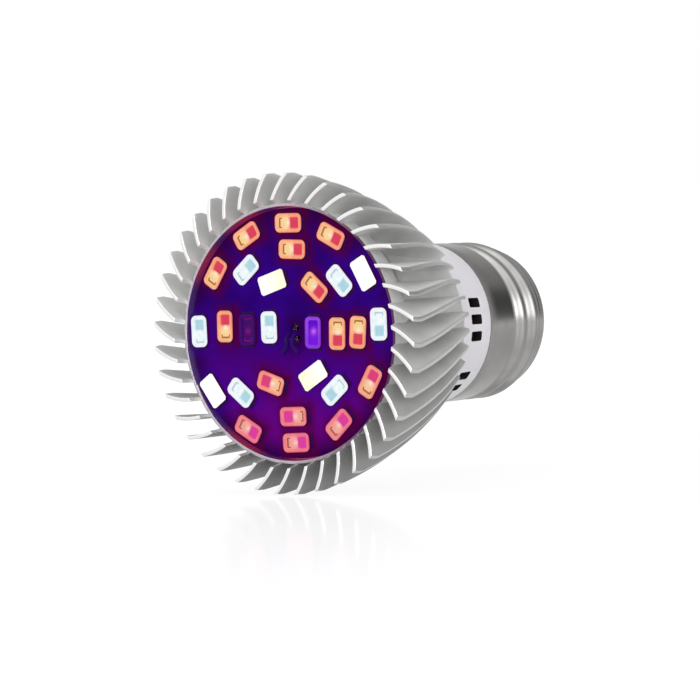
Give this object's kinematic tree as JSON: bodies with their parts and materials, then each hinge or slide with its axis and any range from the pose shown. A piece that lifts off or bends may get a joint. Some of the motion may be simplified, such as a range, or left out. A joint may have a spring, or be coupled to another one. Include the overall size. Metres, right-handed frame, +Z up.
{
  "type": "grow light bulb",
  "caption": "Screw-cap LED grow lamp: bell of curved aluminium fins round an open board of red, blue and white LEDs, with a vented plastic collar and a driver inside.",
  "frame": {"origin": "the flat tip of the centre contact, on the lamp's axis: the point that the lamp holder's base spring presses on", "axes": "+Y from the LED face to the cap's tip, along the lamp's axis; +Z up, with the lamp level as in the picture; the LED face looks towards -Y"},
  "size_m": [0.0498, 0.0645, 0.0498],
  "materials": {
    "heat_sink": "turned and tumbled, satin, bright on the turned edges",
    "led_board": "dark solder mask on an aluminium core, semi-gloss",
    "red_led": "clear lens well, lit red",
    "blue_led": "clear lens well, lit blue",
    "white_led": "phosphor lens well, lit white",
    "warm_white_led": "phosphor lens well, lit warm white",
    "infrared_led": "dark lens well, no visible light",
    "violet_led": "clear lens well, lit violet",
    "collar": "moulded light grey, satin",
    "screw_shell": "nickel plated, rolled",
    "insulator": "black glass, glossy",
    "centre_contact": "tinned button",
    "driver_board": "bare circuit board",
    "capacitor_sleeve": "shrink sleeve",
    "ferrite": "matte",
    "winding_tape": "yellow tape",
    "resistor_paint": "baked paint",
    "capacitor_epoxy": "dipped epoxy",
    "chip_plastic": "moulded",
    "red_insulation": "wire insulation",
    "black_insulation": "wire insulation",
    "brown_insulation": "wire insulation",
    "blue_insulation": "wire insulation"
  },
  "bodies": {
    "root": {"heat_sink": "heat_sink", "led_board": "led_board", "collar": "collar", "screw_shell": "screw_shell", "insulator": "insulator", "centre_contact": "centre_contact", "driver_board": "driver_board", "electrolytic_capacitor": "capacitor_sleeve", "transformer_core": "ferrite", "transformer_winding": "winding_tape", "fuse_resistor": "resistor_paint", "film_capacitor": "capacitor_epoxy", "bridge_rectifier": "chip_plastic", "driver_chip": "chip_plastic", "led_positive_wire": "red_insulation", "led_negative_wire": "black_insulation", "live_wire": "brown_insulation", "neutral_wire": "blue_insulation", "blue_led_01": "blue_led", "blue_led_02": "blue_led", "blue_led_03": "blue_led", "blue_led_04": "blue_led", "blue_led_05": "blue_led", "blue_led_06": "blue_led", "blue_led_07": "blue_led", "red_led_01": "red_led", "red_led_02": "red_led", "red_led_03": "red_led", "red_led_04": "red_led", "red_led_05": "red_led", "red_led_06": "red_led", "red_led_07": "red_led", "red_led_08": "red_led", "red_led_09": "red_led", "red_led_10": "red_led", "red_led_11": "red_led", "red_led_12": "red_led", "red_led_13": "red_led", "red_led_14": "red_led", "red_led_15": "red_led", "white_led_01": "white_led", "white_led_02": "white_led", "warm_white_led_01": "warm_white_led", "warm_white_led_02": "warm_white_led", "infrared_led": "infrared_led", "violet_led": "violet_led"}
  },
  "joints": []
}
